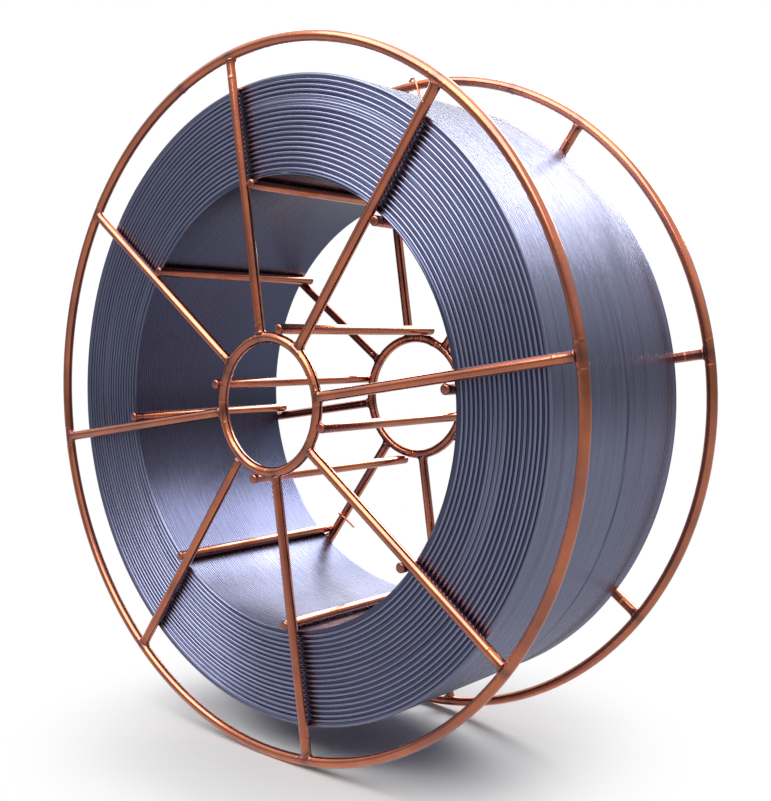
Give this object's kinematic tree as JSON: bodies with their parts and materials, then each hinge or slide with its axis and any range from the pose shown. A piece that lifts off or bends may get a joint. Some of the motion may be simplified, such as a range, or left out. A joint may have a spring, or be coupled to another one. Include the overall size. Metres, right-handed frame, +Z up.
{
  "type": "welding wire spool",
  "caption": "Copper-plated welded wire-basket spool with a full coil of fine welding wire, standing on its two rims.",
  "frame": {"origin": "middle of the bore, halfway between the two flanges", "axes": "+Y along the spool's axis from the front flange to the rear one, +Z up as the spool stands on its rims"},
  "size_m": [0.3, 0.1043, 0.3029],
  "materials": {
    "basket_rod": "copper plated, drawn",
    "welding_wire": "drawn wire, satin"
  },
  "bodies": {
    "root": {"front_rim": "basket_rod", "rear_rim": "basket_rod", "front_hub_ring": "basket_rod", "rear_hub_ring": "basket_rod", "front_spoke_1": "basket_rod", "front_spoke_2": "basket_rod", "front_spoke_3": "basket_rod", "front_spoke_4": "basket_rod", "front_spoke_5": "basket_rod", "front_spoke_6": "basket_rod", "front_spoke_7": "basket_rod", "front_spoke_8": "basket_rod", "rear_spoke_1": "basket_rod", "rear_spoke_2": "basket_rod", "rear_spoke_3": "basket_rod", "rear_spoke_4": "basket_rod", "rear_spoke_5": "basket_rod", "rear_spoke_6": "basket_rod", "rear_spoke_7": "basket_rod", "rear_spoke_8": "basket_rod", "drum_bar_1": "basket_rod", "drum_bar_2": "basket_rod", "drum_bar_3": "basket_rod", "drum_bar_4": "basket_rod", "drum_bar_5": "basket_rod", "drum_bar_6": "basket_rod", "drum_bar_7": "basket_rod", "drum_bar_8": "basket_rod", "hub_bar_1": "basket_rod", "hub_bar_2": "basket_rod", "hub_bar_3": "basket_rod", "hub_bar_4": "basket_rod", "wire_coil": "welding_wire", "wire_end": "welding_wire"}
  },
  "joints": []
}
